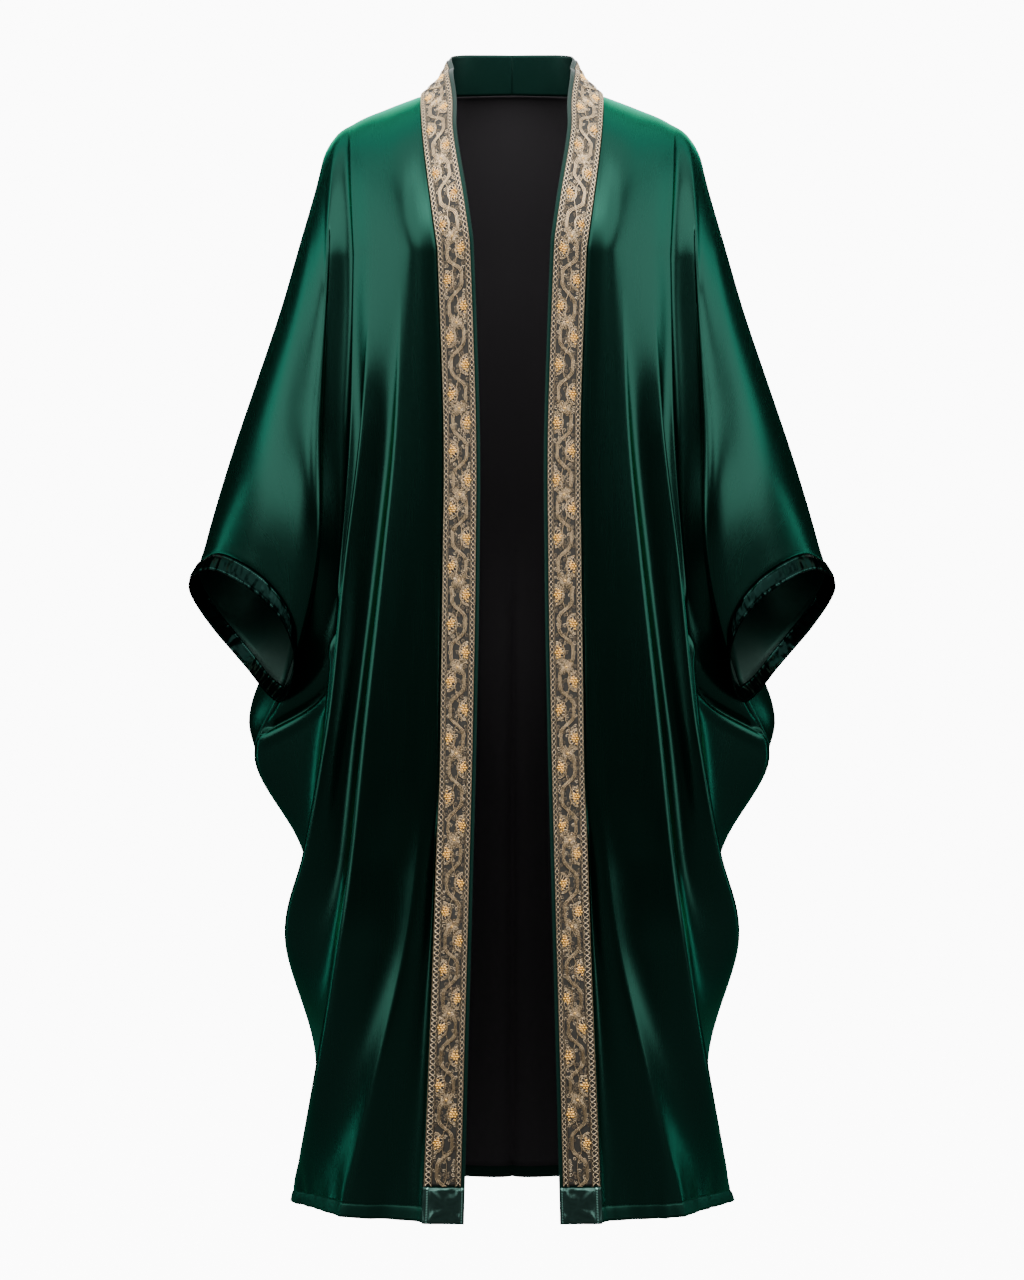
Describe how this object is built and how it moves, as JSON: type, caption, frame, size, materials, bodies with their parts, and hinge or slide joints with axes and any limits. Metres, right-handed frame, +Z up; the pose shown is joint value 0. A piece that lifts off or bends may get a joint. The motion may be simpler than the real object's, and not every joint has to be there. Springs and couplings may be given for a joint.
{
  "type": "abaya",
  "caption": "Open-front batwing abaya in dark green velvet, gold embroidered braid on the neck band and fronts, wide sleeves, worn form.",
  "frame": {"origin": "base of the neck, midway between the high shoulder points, where the wearer's shoulders carry it", "axes": "+Z up, -Y the way the front faces, +X the wearer's left"},
  "size_m": [0.7746, 0.3451, 1.3803],
  "materials": {
    "velvet": "stretch velvet, short pile, soft sheen on the ridges",
    "band": "the same velvet, doubled over interfacing",
    "braid": "metallic gold thread and glass beads on dark net",
    "satin": "satin-backed velvet facing, creased",
    "lining": "matt black woven lining"
  },
  "bodies": {
    "root": {"back": "velvet", "lining_back": "lining", "front_left": "velvet", "front_right": "velvet", "neck_band_left": "band", "neck_band_right": "band", "trim_left": "braid", "trim_right": "braid", "cuff_left": "satin", "cuff_right": "satin", "corner_patch_left": "satin", "corner_patch_right": "satin"}
  },
  "joints": []
}
